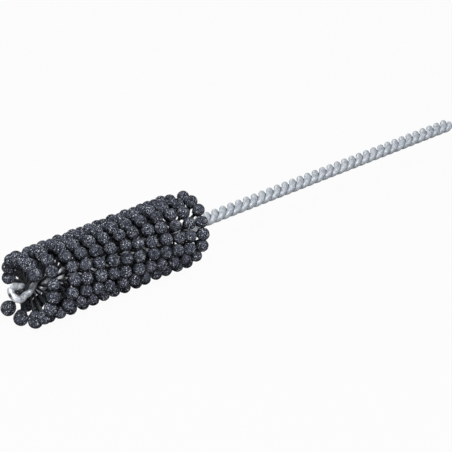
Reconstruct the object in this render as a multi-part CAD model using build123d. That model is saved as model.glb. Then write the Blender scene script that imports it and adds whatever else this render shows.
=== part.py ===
from build123d import *
import math
import os

# A flexible ball hone. One steel wire is folded in half and twisted on itself. Nylon
# filaments lie across it, pinched between its two legs, and an abrasive ball sits on
# both ends of each filament. Lengths are in millimetres and angles in degrees.
# X runs along the tool, Z is up, and x = 0 is the cut end of the shank.
# Angles round the tool are counted from Y towards Z.

# balls
hone_diameter = 22.2
ball_diameter = 3.5
ball_gap = 0.044
column_gap = 2.08
neck_length = 0.9
neck_wall = 0.16
seat_clearance = 0.04
seat_end_gap = 0.05

# filaments
filament_diameter = 0.55
filament_gap = 0.03
first_filament_angle = 88.0
brush_length = 68.4

# next to the eye the filaments of one side are pushed over towards it
tip_lean = 2.7
lean_side = 152.3
leaning_filaments = 8
lean_fades_over = 5
filament_bend = 2.0

# wire
overall_length = 203.2
wire_diameter = 2.0
leg_gap = 0.02
pinch_gap = 0.02
shank_pitch_wanted = 7.3
pitch_slack = 0.04
twist_run_out = 5.4
eye_opening = 2.0
eye_neck = 2.75
untwist_start = 0.55
untwist_length = 1.3
grip_margin = 0.1

# how finely a leg's bends are traced
points_per_turn = 6
fewest_steps = 3

wire_radius = wire_diameter / 2
ball_radius = ball_diameter / 2
filament_radius = filament_diameter / 2
crown_radius = hone_diameter / 2 - ball_radius

# legs lie together in the shank, and a filament's width apart in the brush
shank_helix_radius = wire_radius + leg_gap / 2
brush_helix_radius = wire_radius + filament_radius + pinch_gap
eye_radius = eye_opening / 2 + wire_radius
shank_pitch = max(shank_pitch_wanted, 2 * math.pi * shank_helix_radius * (1 + pitch_slack))

# neighbouring balls set the turn from one filament to the next, and the pitch is the
# largest that the balls, the filaments and the legs ask for
filament_step_angle = 2 * math.degrees(math.asin((ball_diameter + ball_gap) / (2 * crown_radius)))
filaments_per_turn = 360 / filament_step_angle
brush_pitch = max(
    2 * (ball_diameter + column_gap),
    filaments_per_turn * (filament_diameter + filament_gap),
    2 * math.pi * brush_helix_radius * (1 + pitch_slack),
)
filament_spacing = brush_pitch / filaments_per_turn
filament_count = int(brush_length / filament_spacing + 0.5) + 1

# stations along the tool, counted from the cut end of the shank towards the eye
eye_middle = overall_length - eye_radius - wire_radius
legs_part = eye_middle - eye_neck
last_filament = legs_part - grip_margin
brush_end = last_filament - untwist_start
first_filament = last_filament - (filament_count - 1) * filament_spacing
brush_start = first_filament - grip_margin
shank_end = brush_start - twist_run_out


def twist_angle(station):
    """Angle of the gap between the legs, which turns with the twist and stops at the eye."""
    shank_rate = 360 / shank_pitch
    brush_rate = 360 / brush_pitch
    angle = first_filament_angle + (min(station, brush_end) - first_filament) * brush_rate
    if station > brush_end:
        run = min(station - brush_end, untwist_length)
        angle += brush_rate * (run - run**2 / (2 * untwist_length))
    elif station < brush_start:
        run = min(brush_start - station, twist_run_out)
        angle -= (shank_rate - brush_rate) * run**2 / (2 * twist_run_out)
        angle -= (shank_rate - brush_rate) * max(shank_end - station, 0)
    return angle


def blend(start, end, share):
    """A value that eases from start to end as share goes from 0 to 1."""
    share = min(max(share, 0), 1)
    return start + (end - start) * share**2 * (3 - 2 * share)


def helix_radius(station):
    """Distance from the axis to the middle of a leg."""
    if station > brush_end:
        return blend(brush_helix_radius, eye_radius, (station - legs_part) / eye_neck)
    return blend(shank_helix_radius, brush_helix_radius, (station - shank_end) / twist_run_out)


def from_axis(station, radius, angle):
    """The point at a distance along the tool, off its axis and round it."""
    turn = math.radians(angle)
    return Vector(-station, radius * math.cos(turn), radius * math.sin(turn))


def leg_point(station, side):
    """Middle of one leg, a quarter turn to one side of the gap."""
    return from_axis(station, helix_radius(station), twist_angle(station) + side * 90)


def leg_direction(station, side):
    """Direction of one leg towards the eye."""
    reach = 1e-4
    return (leg_point(station + reach, side) - leg_point(station - reach, side)).normalized()


def leg_bend(start, end, side):
    """Centre line of one leg where its twist changes."""
    turned = abs(twist_angle(end) - twist_angle(start))
    steps = max(fewest_steps, math.ceil(turned / 360 * points_per_turn))
    points = [leg_point(start + (end - start) * i / steps, side) for i in range(steps + 1)]
    return Spline(points, tangents=(leg_direction(start, side), leg_direction(end, side)))


def leg_coil(start, end, pitch, side):
    """Centre line of one leg where its twist is even."""
    outward = from_axis(0, 1, twist_angle(start) + side * 90)
    coil = Helix(pitch, end - start, helix_radius(start), lefthand=True)
    return Plane(origin=(-start, 0, 0), x_dir=outward, z_dir=(-1, 0, 0)) * coil


def make_core_wire():
    """The whole wire: down one leg, round the eye and back up the other leg."""
    legs = []
    for side in (1, -1):
        legs.append(leg_coil(-wire_diameter, shank_end, shank_pitch, side))
        legs.append(leg_bend(shank_end, brush_start, side))
        legs.append(leg_coil(brush_start, brush_end, brush_pitch, side))
        legs.append(leg_bend(brush_end, eye_middle, side))
    half_eye = ThreePointArc(
        leg_point(eye_middle, 1),
        (-eye_middle - eye_radius, 0, 0),
        leg_point(eye_middle, -1),
    )
    path = Wire([line.edge() for line in legs + [half_eye]])
    outward = Vector(0, (path @ 0).Y, (path @ 0).Z)
    section = Plane(origin=path @ 0, x_dir=outward, z_dir=path % 0) * Circle(wire_radius)
    wire = sweep(section, path=path, is_frenet=True, transition=Transition.RIGHT)
    # the shank is cropped square
    return split(wire, Plane.YZ, keep=Keep.BOTTOM)


def make_ball():
    """One ball with its neck, centred on its middle and pointing outwards along Z."""
    neck_end = ball_radius + neck_length
    neck_radius = filament_radius + seat_clearance + neck_wall
    bore_radius = filament_radius + seat_clearance
    from_neck = math.atan2(neck_radius, neck_end)
    from_neck += math.acos(ball_radius / math.hypot(neck_radius, neck_end))
    rim = (math.pi - from_neck) / 2
    sphere_edge = (ball_radius * math.sin(from_neck), -ball_radius * math.cos(from_neck))
    outline = ThreePointArc(
        (0, ball_radius),
        (ball_radius * math.sin(rim), ball_radius * math.cos(rim)),
        sphere_edge,
    )
    outline += Polyline(
        sphere_edge,
        (neck_radius, -neck_end),
        (bore_radius, -neck_end),
        (bore_radius, 0),
        (0, 0),
        (0, ball_radius),
    )
    return revolve(Plane.XZ * make_face(outline), Axis.Z)


def root_of(index):
    """Where a filament crosses the axis."""
    return Vector(-first_filament - index * filament_spacing, 0, 0)


def lean_of(index, half_turn):
    """How far one end of a filament leans towards the eye."""
    angle = first_filament_angle + index * filament_step_angle + half_turn
    from_eye = filament_count - 1 - index
    share = 1 - (from_eye - leaning_filaments + 1) / lean_fades_over
    facing = (1 + math.cos(math.radians(angle - lean_side))) / 2
    return tip_lean * min(max(share, 0), 1) * facing


def ball_place(index, half_turn):
    """Middle of the ball on one end of a filament, Z pointing outwards along the filament."""
    angle = first_filament_angle + index * filament_step_angle + half_turn
    outwards = from_axis(lean_of(index, half_turn), crown_radius, angle)
    return Plane(origin=root_of(index) + outwards, x_dir=(1, 0, 0), z_dir=outwards)


def make_filament(index):
    """One filament between the seats in its balls, bent in the wire where its ends lean."""
    places = [ball_place(index, half_turn) for half_turn in (0, 180)]
    ends = [place.origin - place.z_dir * seat_end_gap for place in places]
    if lean_of(index, 0) + lean_of(index, 180) == 0:
        path = Line(*ends)
    else:
        path = FilletPolyline(ends[0], root_of(index), ends[1], radius=filament_bend)
    section = Plane(origin=path @ 0, x_dir=(1, 0, 0), z_dir=path % 0) * Circle(filament_radius)
    return sweep(section, path=path)


def rows():
    """The filaments in groups of half a turn, counted from the shank."""
    groups = {}
    for index in range(filament_count):
        groups.setdefault(int(index * filament_step_angle // 180), []).append(index)
    return [groups[key] for key in sorted(groups)]


core_wire = make_core_wire()
ball = make_ball()

os.makedirs("parts", exist_ok=True)
export_step(core_wire, "parts/core_wire.step")
for number, row in enumerate(rows(), start=1):
    filaments = [make_filament(index) for index in row]
    balls = [
        ball_place(index, half_turn).location * ball
        for index in row
        for half_turn in (0, 180)
    ]
    export_step(Compound(children=filaments), f"parts/filament_row_{number:02d}.step")
    export_step(Compound(children=balls), f"parts/ball_row_{number:02d}.step")
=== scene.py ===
import math
import random

import bmesh
import bpy
from mathutils import Matrix, Vector


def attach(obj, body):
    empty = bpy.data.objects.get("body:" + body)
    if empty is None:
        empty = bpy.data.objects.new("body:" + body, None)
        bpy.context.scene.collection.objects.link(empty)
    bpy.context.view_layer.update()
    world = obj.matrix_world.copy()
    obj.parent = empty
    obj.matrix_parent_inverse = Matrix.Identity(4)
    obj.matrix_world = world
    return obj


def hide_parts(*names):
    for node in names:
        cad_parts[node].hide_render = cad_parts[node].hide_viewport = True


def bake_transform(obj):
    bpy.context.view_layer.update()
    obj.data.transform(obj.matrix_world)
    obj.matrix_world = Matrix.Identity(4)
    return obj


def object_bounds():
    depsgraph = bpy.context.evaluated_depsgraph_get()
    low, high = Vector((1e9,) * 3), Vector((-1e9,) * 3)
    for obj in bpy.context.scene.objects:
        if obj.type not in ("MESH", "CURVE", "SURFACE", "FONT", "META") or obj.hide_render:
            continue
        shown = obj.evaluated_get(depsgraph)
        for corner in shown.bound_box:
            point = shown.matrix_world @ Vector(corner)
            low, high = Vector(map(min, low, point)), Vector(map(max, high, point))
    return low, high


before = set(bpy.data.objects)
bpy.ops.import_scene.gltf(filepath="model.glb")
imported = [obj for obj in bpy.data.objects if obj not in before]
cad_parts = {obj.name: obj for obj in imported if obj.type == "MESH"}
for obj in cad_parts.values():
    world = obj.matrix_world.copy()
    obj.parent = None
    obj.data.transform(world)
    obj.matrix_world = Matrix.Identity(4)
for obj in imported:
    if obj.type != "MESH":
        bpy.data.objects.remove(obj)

cad_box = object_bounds()


# Core wire
# One galvanised steel wire folded in half, its fold left as an eye, and its two legs
# twisted on each other. They grip the filaments, and beyond the brush they are the shank.
OVERALL_LENGTH = 0.2032
WIRE_RADIUS = 0.001
STRAND_RADIUS = 0.000275
LEG_GAP = 0.00002
PINCH_GAP = 0.00002
EYE_OPENING = 0.002
EYE_NECK = 0.00275
GRIP_MARGIN = 0.0001
UNTWIST_START = 0.00055
UNTWIST = 0.0013
RUN_OUT = 0.0054
SHANK_PITCH = 0.0073
BRUSH_PITCH = 0.01116
LEG_RINGS = 640
EYE_RINGS = 14
WIRE_SIDES = 16
SHARP = math.radians(60)

# the filaments between the legs set where the twist starts and ends
ROOTS = 102
CROWN = 0.00935
BALL_STEP = 0.003544
ROOT_TURN = 2 * math.asin(BALL_STEP / (2 * CROWN))
ROOT_SPACING = BRUSH_PITCH * ROOT_TURN / (2 * math.pi)
FIRST_ANGLE = math.radians(88.0)

SHANK_HELIX = WIRE_RADIUS + LEG_GAP / 2
BRUSH_HELIX = WIRE_RADIUS + STRAND_RADIUS + PINCH_GAP
EYE_RADIUS = WIRE_RADIUS + EYE_OPENING / 2
EYE_MIDDLE = OVERALL_LENGTH - WIRE_RADIUS - EYE_RADIUS
LEGS_PART = EYE_MIDDLE - EYE_NECK
LAST_ROOT = LEGS_PART - GRIP_MARGIN
FIRST_ROOT = LAST_ROOT - (ROOTS - 1) * ROOT_SPACING
BRUSH_START = FIRST_ROOT - GRIP_MARGIN
BRUSH_END = LAST_ROOT - UNTWIST_START
SHANK_END = BRUSH_START - RUN_OUT

# the zinc: painted shade inside the brush near the eye and in its crevices, rubbed dull on the shank
DARK_ZINC = (0.19, 0.215, 0.255, 1)
PALE_ZINC = (0.60, 0.62, 0.65, 1)
ZINC_IN_PAINTED_SHADE = (0.09, 0.095, 0.1, 1)
HANDLED_ZINC = (0.17, 0.19, 0.215, 1)
GROOVE_SHADE = (0.02, 0.02, 0.024, 1)
PAINTED_SHADE_BEGINS = (-0.1975, -0.196)
PAINTED_SHADE_ENDS = (-0.191, -0.186)
HANDLING_BEGINS = (-0.135, -0.12)
GROOVE_SHADE_DEPTH = (0.0002, 0.0011)


class Nodes:
    """The nodes of a material or of the world, written as expressions."""

    def __init__(self, tree):
        self.tree = tree

    def node(self, kind, settings=None, inputs=None):
        """One node: its settings first, and then the values or links of its sockets."""
        made = self.tree.nodes.new(kind)
        for key, value in (settings or {}).items():
            setattr(made, key, value)
        for key, value in (inputs or {}).items():
            self.feed(made.inputs[key], value)
        return made

    def feed(self, socket, value):
        if isinstance(value, Field):
            self.tree.links.new(value.socket, socket)
        elif isinstance(value, bpy.types.NodeSocket):
            self.tree.links.new(value, socket)
        else:
            socket.default_value = value

    def field(self, kind, settings=None, inputs=None, output=0):
        """What one node gives out, as a number to reckon with."""
        return Field(self, self.node(kind, settings, inputs).outputs[output])


class Field:
    """A number that changes over a surface."""

    def __init__(self, nodes, socket):
        self.nodes = nodes
        self.socket = socket

    def maths(self, operation, first, second):
        return self.nodes.field("ShaderNodeMath", {"operation": operation}, {0: first, 1: second})

    def __add__(self, other):
        return self.maths("ADD", self, other)

    def __radd__(self, other):
        return self.maths("ADD", other, self)

    def __sub__(self, other):
        return self.maths("SUBTRACT", self, other)

    def __rsub__(self, other):
        return self.maths("SUBTRACT", other, self)

    def __mul__(self, other):
        return self.maths("MULTIPLY", self, other)

    def __rmul__(self, other):
        return self.maths("MULTIPLY", other, self)

    def __pow__(self, other):
        return self.maths("POWER", self, other)

    def __rpow__(self, other):
        return self.maths("POWER", other, self)

    def ease(self, low, high):
        """0 up to low and 1 from high on, with a smooth rise between them."""
        settings = {"interpolation_type": "SMOOTHSTEP"}
        return self.nodes.field("ShaderNodeMapRange", settings, {0: self, 1: low, 2: high})


class Finish(Nodes):
    """A material of this tool."""

    def __init__(self, name, **fixed):
        self.material = bpy.data.materials.new(name)
        self.material.use_nodes = True
        super().__init__(self.material.node_tree)
        self.shader = self.tree.nodes["Principled BSDF"]
        self.show(**fixed)

    def show(self, **values):
        for socket, value in values.items():
            self.feed(self.shader.inputs[socket.replace("_", " ")], value)

    def place(self):
        """Place on the surface, fixed to the object."""
        return self.node("ShaderNodeTexCoord").outputs["Object"]

    def along(self):
        """Place along the tool, from the eye's end to 0 at the cut end."""
        return self.field("ShaderNodeSeparateXYZ", None, {0: self.place()})

    def from_axis(self):
        """Distance from the tool's axis."""
        parts = self.node("ShaderNodeSeparateXYZ", None, {0: self.place()})
        across = Field(self, parts.outputs[1])
        up = Field(self, parts.outputs[2])
        return (across * across + up * up) ** 0.5

    def noise(self, scale, detail):
        """Soft patches, as many to a metre as the scale says."""
        inputs = {"Vector": self.place(), "Scale": scale, "Detail": detail}
        return self.field("ShaderNodeTexNoise", None, inputs)

    def mix(self, share, first, second):
        """One colour that turns into another as the share goes from 0 to 1."""
        inputs = {0: share, 6: first, 7: second}
        return self.node("ShaderNodeMix", {"data_type": "RGBA"}, inputs).outputs[2]

    def bump(self, height, strength, distance):
        inputs = {"Strength": strength, "Distance": distance, "Height": height}
        return self.node("ShaderNodeBump", None, inputs).outputs[0]


def ease(share):
    """A smooth rise from 0 to 1, and level on both sides."""
    share = min(max(share, 0), 1)
    return share**2 * (3 - 2 * share)


def twist(station):
    """Angle of the gap between the two legs at a distance from the cut end."""
    rate = 2 * math.pi / BRUSH_PITCH
    faster = 2 * math.pi / SHANK_PITCH - rate
    angle = FIRST_ANGLE + (min(station, BRUSH_END) - FIRST_ROOT) * rate
    if station > BRUSH_END:
        run = min(station - BRUSH_END, UNTWIST)
        angle += rate * (run - run**2 / (2 * UNTWIST))
    elif station < BRUSH_START:
        run = min(BRUSH_START - station, RUN_OUT)
        angle -= faster * (run**2 / (2 * RUN_OUT) + max(SHANK_END - station, 0))
    return angle


def leg_middle(station, side):
    """Middle of one leg, a quarter turn to one side of the gap."""
    radius = SHANK_HELIX
    radius += (BRUSH_HELIX - SHANK_HELIX) * ease((station - SHANK_END) / RUN_OUT)
    radius += (EYE_RADIUS - BRUSH_HELIX) * ease((station - LEGS_PART) / EYE_NECK)
    angle = twist(station) + side * math.pi / 2
    return Vector((-station, radius * math.cos(angle), radius * math.sin(angle)))


def wire_middles():
    """The wire's middle line, down one leg, round the eye and back up the other leg."""
    start = -2 * WIRE_RADIUS
    stations = [start + (EYE_MIDDLE - start) * i / LEG_RINGS for i in range(LEG_RINGS + 1)]
    down = [leg_middle(station, 1) for station in stations]
    back = [leg_middle(station, -1) for station in reversed(stations)]
    across = Vector((0, down[-1].y, down[-1].z)).normalized()
    turn = []
    for i in range(1, EYE_RINGS):
        angle = math.pi * i / EYE_RINGS
        reach = across * math.cos(angle) + Vector((-1, 0, 0)) * math.sin(angle)
        turn.append(Vector((-EYE_MIDDLE, 0, 0)) + reach * EYE_RADIUS)
    return down + turn + back


def pull_tube(middles, radii, sides):
    """A closed round tube, pulled along its middle line one ring at a time."""
    bm = bmesh.new()
    heading = (middles[1] - middles[0]).normalized()
    place = Matrix.Translation(middles[0]) @ heading.to_track_quat("Z", "Y").to_matrix().to_4x4()
    ring = bmesh.ops.create_circle(bm, segments=sides, radius=radii[0], matrix=place)["verts"]
    edges = list(bm.edges)
    bm.faces.new(ring)
    for i in range(1, len(middles)):
        towards = (middles[min(i + 1, len(middles) - 1)] - middles[i - 1]).normalized()
        pulled = bmesh.ops.extrude_edge_only(bm, edges=edges)["geom"]
        ring = [g for g in pulled if isinstance(g, bmesh.types.BMVert)]
        swing = heading.rotation_difference(towards).to_matrix().to_4x4()
        move = Matrix.Translation(middles[i]) @ swing @ Matrix.Scale(radii[i] / radii[i - 1], 4)
        bmesh.ops.transform(bm, matrix=move @ Matrix.Translation(-middles[i - 1]), verts=ring)
        edges = [g for g in pulled if isinstance(g, bmesh.types.BMEdge) and set(g.verts) <= set(ring)]
        heading = towards
    bmesh.ops.contextual_create(bm, geom=edges)
    return bm


def add_piece(name, bm, finish):
    """The finished mesh as an object in the scene, smooth but for its sharp edges."""
    bmesh.ops.recalc_face_normals(bm, faces=bm.faces)
    mesh = bpy.data.meshes.new(name)
    bm.to_mesh(mesh)
    bm.free()
    mesh.shade_smooth()
    mesh.set_sharp_from_angle(angle=SHARP)
    mesh.materials.append(finish.material)
    piece = bpy.data.objects.new(name, mesh)
    bpy.context.scene.collection.objects.link(piece)
    return piece


steel = Finish("galvanised_steel")
clouds = steel.noise(scale=1300.0, detail=4.0)
specks = steel.noise(scale=4200.0, detail=3.0)
shank = steel.along().ease(*HANDLING_BEGINS)
# painted shade: the wire darkened inside the brush next to the eye, between the filaments
shade_band = steel.along().ease(*PAINTED_SHADE_BEGINS) - steel.along().ease(*PAINTED_SHADE_ENDS)
zinc = steel.mix(clouds.ease(0.35, 0.65), DARK_ZINC, PALE_ZINC)
shaded_zinc = steel.mix(shade_band * 0.65, zinc, ZINC_IN_PAINTED_SHADE)
handled = steel.mix(shank * 0.7, shaded_zinc, HANDLED_ZINC)
steel.show(
    # painted shade: the wire darkened close to the axis, in the groove between the twisted legs
    Base_Color=steel.mix(steel.from_axis().ease(*GROOVE_SHADE_DEPTH), GROOVE_SHADE, handled),
    Metallic=(0.45 + 0.35 * clouds) * (1 - 0.65 * shank),
    Roughness=0.33 + 0.26 * specks + 0.09 * shank,
    Normal=steel.bump(specks, strength=0.35, distance=0.00006),
)

middles = wire_middles()
bm = pull_tube(middles, [WIRE_RADIUS] * len(middles), WIRE_SIDES)
everything = bm.verts[:] + bm.edges[:] + bm.faces[:]
cut = bmesh.ops.bisect_plane(bm, geom=everything, plane_co=(0, 0, 0), plane_no=(1, 0, 0), clear_outer=True)
bmesh.ops.holes_fill(bm, edges=[g for g in cut["geom_cut"] if isinstance(g, bmesh.types.BMEdge)])
core = add_piece("wire_twist", bm, steel)
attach(core, "stem")
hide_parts("core_wire")


# Filaments
# Stiff dark nylon bristles, cut to length and laid across the gap between the two legs
# before these are twisted, so that each one sticks out on both sides and bends in use.
# Grit and binder run down them from the balls, and near the eye one side leans over.
STRAND_BITS = 5
STRAND_SIDES = 8
COATED_RADIUS = 0.0005

# how far out on a filament the wire lets go, the crust starts and is full, the two pieces meet, the ball
# takes hold and the filament ends
GRIPPED = 0.0012
CRUST_STARTS = 0.002
CRUST_ENDS = 0.0055
BENDS = 0.0045
STUCK = 0.0078
SEAT = 0.0093

# how far the last filaments lean towards the eye, on which side, and how many of them
TIP_LEAN = 0.0027
LEAN_SIDE = math.radians(152.3)
LEANING = 8
LEAN_FADES = 5

DARK_NYLON = (0.004, 0.004, 0.005, 1)
PALE_NYLON = (0.022, 0.024, 0.029, 1)
DARK_CRUST = (0.004, 0.005, 0.006, 1)
PALE_CRUST = (0.03, 0.033, 0.04, 1)
CRUST_SHOWS = (0.003, 0.0065)

# how far the others' balls drift along the tool, because none stands quite straight
DRIFT = 0.00045
DRIFTING = 88

# balls at the eye that are bent out of line, by filament and end, and one that broke off
STRAYS = {
    (92, 0): (0, 0.0001, 0.0012),
    (93, 0): (0.0002, -0.0009, 0.0011),
    (94, 0): (0.0004, -0.0012, 0.0005),
    (100, 1): (0.00064, -0.00116, -0.00066),
    (101, 1): (0.0001, -0.0003, -0.0002),
}
SHED = (99, 1)

wobble = random.Random(3)
drifts = {(n, side): wobble.uniform(-DRIFT, DRIFT) for n in range(DRIFTING) for side in (0, 1)}

nylon = Finish("dark_nylon", Specular_IOR_Level=0.1)
dust = nylon.noise(scale=2600.0, detail=5.0)
bare = nylon.mix(dust.ease(0.45, 0.75), DARK_NYLON, PALE_NYLON)
crusted = nylon.mix(dust.ease(0.42, 0.7), DARK_CRUST, PALE_CRUST)
nylon.show(
    Base_Color=nylon.mix(nylon.from_axis().ease(*CRUST_SHOWS), bare, crusted),
    Roughness=0.2 + 0.4 * dust,
    Normal=nylon.bump(dust, strength=0.5, distance=0.00006),
)


def root(number):
    """Where a filament crosses the axis."""
    return Vector((-FIRST_ROOT - number * ROOT_SPACING, 0, 0))


def ball_middle(number, side, crown):
    """Middle of the ball on one end of a filament, at a distance from the tool's axis."""
    angle = FIRST_ANGLE + number * ROOT_TURN + side * math.pi
    share = min(max(1 - (ROOTS - number - LEANING) / LEAN_FADES, 0), 1)
    lean = TIP_LEAN * share * (1 + math.cos(angle - LEAN_SIDE)) / 2
    middle = root(number) + Vector((-lean, crown * math.cos(angle), crown * math.sin(angle)))
    middle.x += drifts.get((number, side), 0)
    return middle + Vector(STRAYS.get((number, side), (0, 0, 0)))


def outwards(number, side):
    """Direction of one end of a filament."""
    return (ball_middle(number, side, CROWN) - root(number)).normalized()


def row_of(number):
    """The half turn that a filament belongs to, as the rows of the frame count it."""
    return int(number * ROOT_TURN // math.pi) + 1


def draw_strand(name, number, side, start, end):
    """A stretch of filament between two distances from the axis, in short bits."""
    reaches = [start + (end - start) * i / STRAND_BITS for i in range(STRAND_BITS + 1)]
    crust = [ease((reach - CRUST_STARTS) / (CRUST_ENDS - CRUST_STARTS)) for reach in reaches]
    radii = [STRAND_RADIUS + (COATED_RADIUS - STRAND_RADIUS) * share for share in crust]
    middles = [root(number) + outwards(number, side) * reach for reach in reaches]
    strand = add_piece(name, pull_tube(middles, radii, STRAND_SIDES), nylon)
    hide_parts(f"filament_row_{row_of(number):02d}")
    return strand


for number in range(ROOTS):
    for side, letter in ((0, "a"), (1, "b")):
        if (number, side) == SHED:
            continue
        out = outwards(number, side)
        inner = draw_strand(f"filament_{number + 1:03d}{letter}_inner", number, side, 0, BENDS)
        root(number) + out * GRIPPED
        root(number) + out * BENDS
        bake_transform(inner)
        outer = draw_strand(f"filament_{number + 1:03d}{letter}_outer", number, side, BENDS, SEAT)
        root(number) + out * BENDS
        root(number) + out * STUCK
        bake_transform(outer)


# Abrasive balls
# Silicon carbide grit in a hard binder, built up by dipping on both ends of a filament.
# Each is a crumbly drop with a neck and a size of its own, and the last ones are larger.
# On a third of them the filament's cut end shows as a dot at the outer end.
BALL_RADIUS = 0.00179
LAST_BALL_RADIUS = 0.00205
LAST_BALLS = 4
SMALLEST = 0.95
LARGEST = 1.03
CRUMB_SIZE = 0.00035
CRUMB_HEIGHT = 0.0002

# how far out the balls reach, with room left for their crumbs and lumps
ROOM_OUTSIDE = 0.00013
OUTSIDE = cad_box[1][2] - ROOM_OUTSIDE

# the grit: grains lightened partly as painted sparkle, painted glints, and painted shade deep between the
# balls, but not at the open tip
DARK_BINDER = (0.012, 0.0135, 0.018, 1)
PALE_BINDER = (0.038, 0.042, 0.056, 1)
GRAIN_AND_SPARKLE = (0.52, 0.55, 0.63, 1)
PAINTED_GLINT = (0.8, 0.82, 0.87, 1)
RING_ROUND_END = (0.3, 0.31, 0.34, 1)
CUT_END = (0.006, 0.006, 0.008, 1)
SHADED_GRIT = (0.004, 0.0045, 0.006, 1)
SHADED_DEPTH = (0.0077, 0.0098)
TIP_ENDS = (-0.194, -0.19)
DULLEST = 0.55

# the shape of a ball of radius 1: how far its cage stands out at its faces, edges and corners,
# how uneven that is, and where the neck begins and ends
CAGE_REACH = {1: 1.236, 2: 1.207, 3: 1.115}
LUMPS = 0.03
NECK_ROOT = -0.7
NECK_END = 1.35
NECK_WIDTH = 0.32

chance = random.Random(7)
crumbs = bpy.data.textures.new("crumbs", "CLOUDS")
crumbs.noise_scale = CRUMB_SIZE

grit = Finish("silicon_carbide_grit", Specular_IOR_Level=0.0)
grains = grit.node("ShaderNodeTexVoronoi", None, {"Vector": grit.place(), "Scale": 3300.0})
cells = grit.node("ShaderNodeSeparateColor", None, {0: grains.outputs["Color"]})
pick = Field(grit, cells.outputs[0])
shine = Field(grit, cells.outputs[1])
depths = Field(grit, grains.outputs["Distance"])
patches = grit.noise(scale=800.0, detail=3.0)
fine = grit.noise(scale=9000.0, detail=2.0)
tone = grit.field("ShaderNodeAttribute", {"attribute_name": "tone"}, None, 2)
crown = grit.field("ShaderNodeAttribute", {"attribute_name": "crown"}, None, 2)
dots = 1 - depths.ease(0.1, 0.5)
lit = grit.from_axis().ease(*SHADED_DEPTH) + 1 - grit.along().ease(*TIP_ENDS)
binder = grit.mix(patches.ease(0.35, 0.65), DARK_BINDER, PALE_BINDER)
# the grains of the grit in a lighter colour: real grains, whose brightness is partly painted sparkle
sparkling_grains = grit.mix(dots * pick.ease(0.1, 0.9) * tone, binder, GRAIN_AND_SPARKLE)
# painted glints: the brightest few grains turned near white
painted_glints = grit.mix(dots * pick.ease(0.90, 0.93), sparkling_grains, PAINTED_GLINT)
ringed = grit.mix(crown.ease(0.66, 0.72), painted_glints, RING_ROUND_END)
dotted = grit.mix(crown.ease(0.78, 0.82), ringed, CUT_END)
grit.show(
    Base_Color=grit.mix(lit, SHADED_GRIT, dotted),
    Roughness=0.72 - 0.4 * shine.ease(0.6, 0.95),
    Normal=grit.bump(fine * 0.4 - depths, strength=0.9, distance=0.00016),
)


def add_drop(bm, tones, crowns, middle, out, size):
    """One ball: a cube rounded to a sphere, its inner side drawn out to a neck."""
    made = bmesh.ops.create_cube(bm, size=2)["verts"]
    edges = list({e for v in made for e in v.link_edges})
    bmesh.ops.subdivide_edges(bm, edges=edges, cuts=1, use_grid_fill=True)
    fresh = [v for v in bm.verts if not v.tag]
    for v in fresh:
        corner = round(sum(abs(c) for c in v.co))
        v.co = v.co.normalized() * CAGE_REACH[corner] * chance.uniform(1 - LUMPS, 1 + LUMPS)
    top = max(fresh, key=lambda v: v.co.z)
    sides = {f for v in fresh for f in v.link_faces}
    low = [f for f in sides if f.calc_center_median().z < NECK_ROOT]
    pulled = bmesh.ops.extrude_face_region(bm, geom=low)["geom"]
    bmesh.ops.delete(bm, geom=low, context="FACES_ONLY")
    for v in (g for g in pulled if isinstance(g, bmesh.types.BMVert)):
        flat = Vector((v.co.x, v.co.y, 0))
        rim = flat.normalized() * NECK_WIDTH if flat.length > NECK_WIDTH else flat
        v.co = rim + Vector((0, 0, -NECK_END))
    fresh = [v for v in bm.verts if not v.tag]
    brightness = chance.uniform(DULLEST, 1.0)
    for v in fresh:
        v[tones] = brightness
    top[crowns] = chance.choice((0, 0, 1))
    spin = Matrix.Rotation(chance.uniform(0, math.pi / 2), 4, "Z")
    turn = out.to_track_quat("Z", "X").to_matrix().to_4x4()
    place = Matrix.Translation(middle) @ turn @ spin @ Matrix.Scale(size, 4)
    bmesh.ops.transform(bm, matrix=place, verts=fresh)
    for v in fresh:
        v.tag = True


for row in range(1, row_of(ROOTS - 1) + 1):
    bm = bmesh.new()
    tones, crowns = (bm.verts.layers.float.new(name) for name in ("tone", "crown"))
    for number in (n for n in range(ROOTS) if row_of(n) == row):
        radius = LAST_BALL_RADIUS if number >= ROOTS - LAST_BALLS else BALL_RADIUS
        for side in (0, 1):
            if (number, side) == SHED:
                continue
            size = radius * chance.uniform(SMALLEST, LARGEST)
            middle = ball_middle(number, side, OUTSIDE - size)
            add_drop(bm, tones, crowns, middle, (middle - root(number)).normalized(), size)
    balls = add_piece(f"balls_{row:02d}", bm, grit)
    rounding = balls.modifiers.new("rounding", "SUBSURF")
    rounding.levels = rounding.render_levels = 3
    crumbling = balls.modifiers.new("crumbling", "DISPLACE")
    crumbling.texture = crumbs
    crumbling.texture_coords = "LOCAL"
    crumbling.strength = CRUMB_HEIGHT
    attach(balls, "ball_pack")
    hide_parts(f"ball_row_{row:02d}")


# Floor, light and camera
# A plain pale floor under the balls, four large soft lamps round the tool, and the camera
# at the photograph's angle, off the eye's end of the tool and a little above it.
FLOOR_LEVEL = cad_box[0][2]
FLOOR_REACH = 6
PAPER = (0.2, 0.2, 0.2, 1)
PAPER_GLOW = 0.955
WHITE = (1, 1, 1, 1)
BACKDROP = (0.8, 0.8, 0.8, 1)
AIR_LIGHT = 0.04

# what the lamps look at, and each one's name, place, width and power
LIT_PLACE = (-0.13, 0, 0)
LAMPS = (
    ("key_light", (-0.75, -0.5, 0.75), 0.5, 18),
    ("front_light", (-0.9, -0.7, 0.45), 0.25, 4.5),
    ("fill_light", (0.4, -1.1, 0.6), 0.9, 3.5),
    ("back_light", (0.2, 1.0, 0.8), 0.9, 14),
)

# the camera, from the perspective of the spiral of balls in the photograph
VIEWPOINT = (-0.88247, -0.61407, 0.32212)
LOOK = (0.74314, 0.59081, -0.31413)
FOCAL_LENGTH = 288.0
SENSOR_WIDTH = 36
FARTHEST = 20


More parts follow.
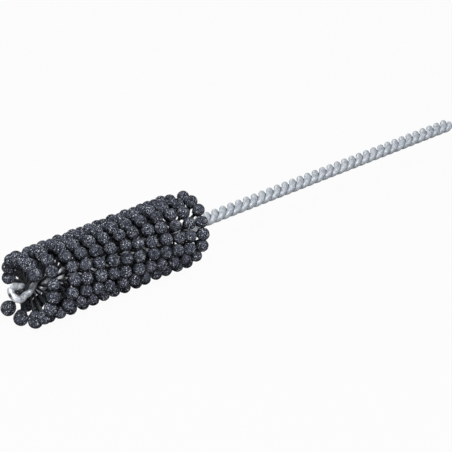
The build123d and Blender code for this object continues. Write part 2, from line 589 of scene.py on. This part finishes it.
def background_rays(nodes):
    """1 for the rays that show the background: the camera's own, and those off metal or through glass."""
    rays = nodes.node("ShaderNodeLightPath")
    straight, glossy, through = (
        Field(nodes, rays.outputs[f"Is {kind} Ray"]) for kind in ("Camera", "Glossy", "Transmission")
    )
    return straight + glossy + through


def stand(thing, place, towards):
    """A lamp or the camera, put in its place and turned to look that way."""
    thing.location = place
    thing.rotation_euler = Vector(towards).to_track_quat("-Z", "Y").to_euler()
    bpy.context.scene.collection.objects.link(thing)


paper = Finish("pale_floor", Base_Color=PAPER, Roughness=0.9)
glow = paper.node("ShaderNodeEmission", None, {"Color": WHITE, "Strength": 1.0})
shares = {0: background_rays(paper) * PAPER_GLOW, 1: paper.shader.outputs[0], 2: glow.outputs[0]}
surface = paper.node("ShaderNodeMixShader", None, shares).outputs[0]
paper.feed(paper.tree.nodes["Material Output"].inputs["Surface"], surface)

bm = bmesh.new()
bmesh.ops.create_grid(bm, x_segments=1, y_segments=1, size=FLOOR_REACH)
bmesh.ops.translate(bm, vec=(0, 0, FLOOR_LEVEL), verts=bm.verts)
floor = add_piece("floor", bm, paper)

for name, place, size, power in LAMPS:
    light = bpy.data.lights.new(name, "AREA")
    light.shape = "DISK"
    light.size = size
    light.energy = power
    stand(bpy.data.objects.new(name, light), place, Vector(LIT_PLACE) - Vector(place))

world = bpy.data.worlds.new("studio")
world.use_nodes = True
air = Nodes(world.node_tree)
dim = air.node("ShaderNodeBackground", None, {"Color": WHITE, "Strength": AIR_LIGHT})
pale = air.node("ShaderNodeBackground", None, {"Color": BACKDROP, "Strength": 1.0})
shares = {0: background_rays(air), 1: dim.outputs[0], 2: pale.outputs[0]}
surface = air.node("ShaderNodeMixShader", None, shares).outputs[0]
air.feed(air.tree.nodes["World Output"].inputs["Surface"], surface)
bpy.context.scene.world = world
bpy.context.scene.view_settings.view_transform = "Standard"

lens = bpy.data.cameras.new("camera")
lens.sensor_width = SENSOR_WIDTH
lens.lens = FOCAL_LENGTH
lens.clip_end = FARTHEST
camera = bpy.data.objects.new("camera", lens)
stand(camera, VIEWPOINT, LOOK)
bpy.context.scene.camera = camera
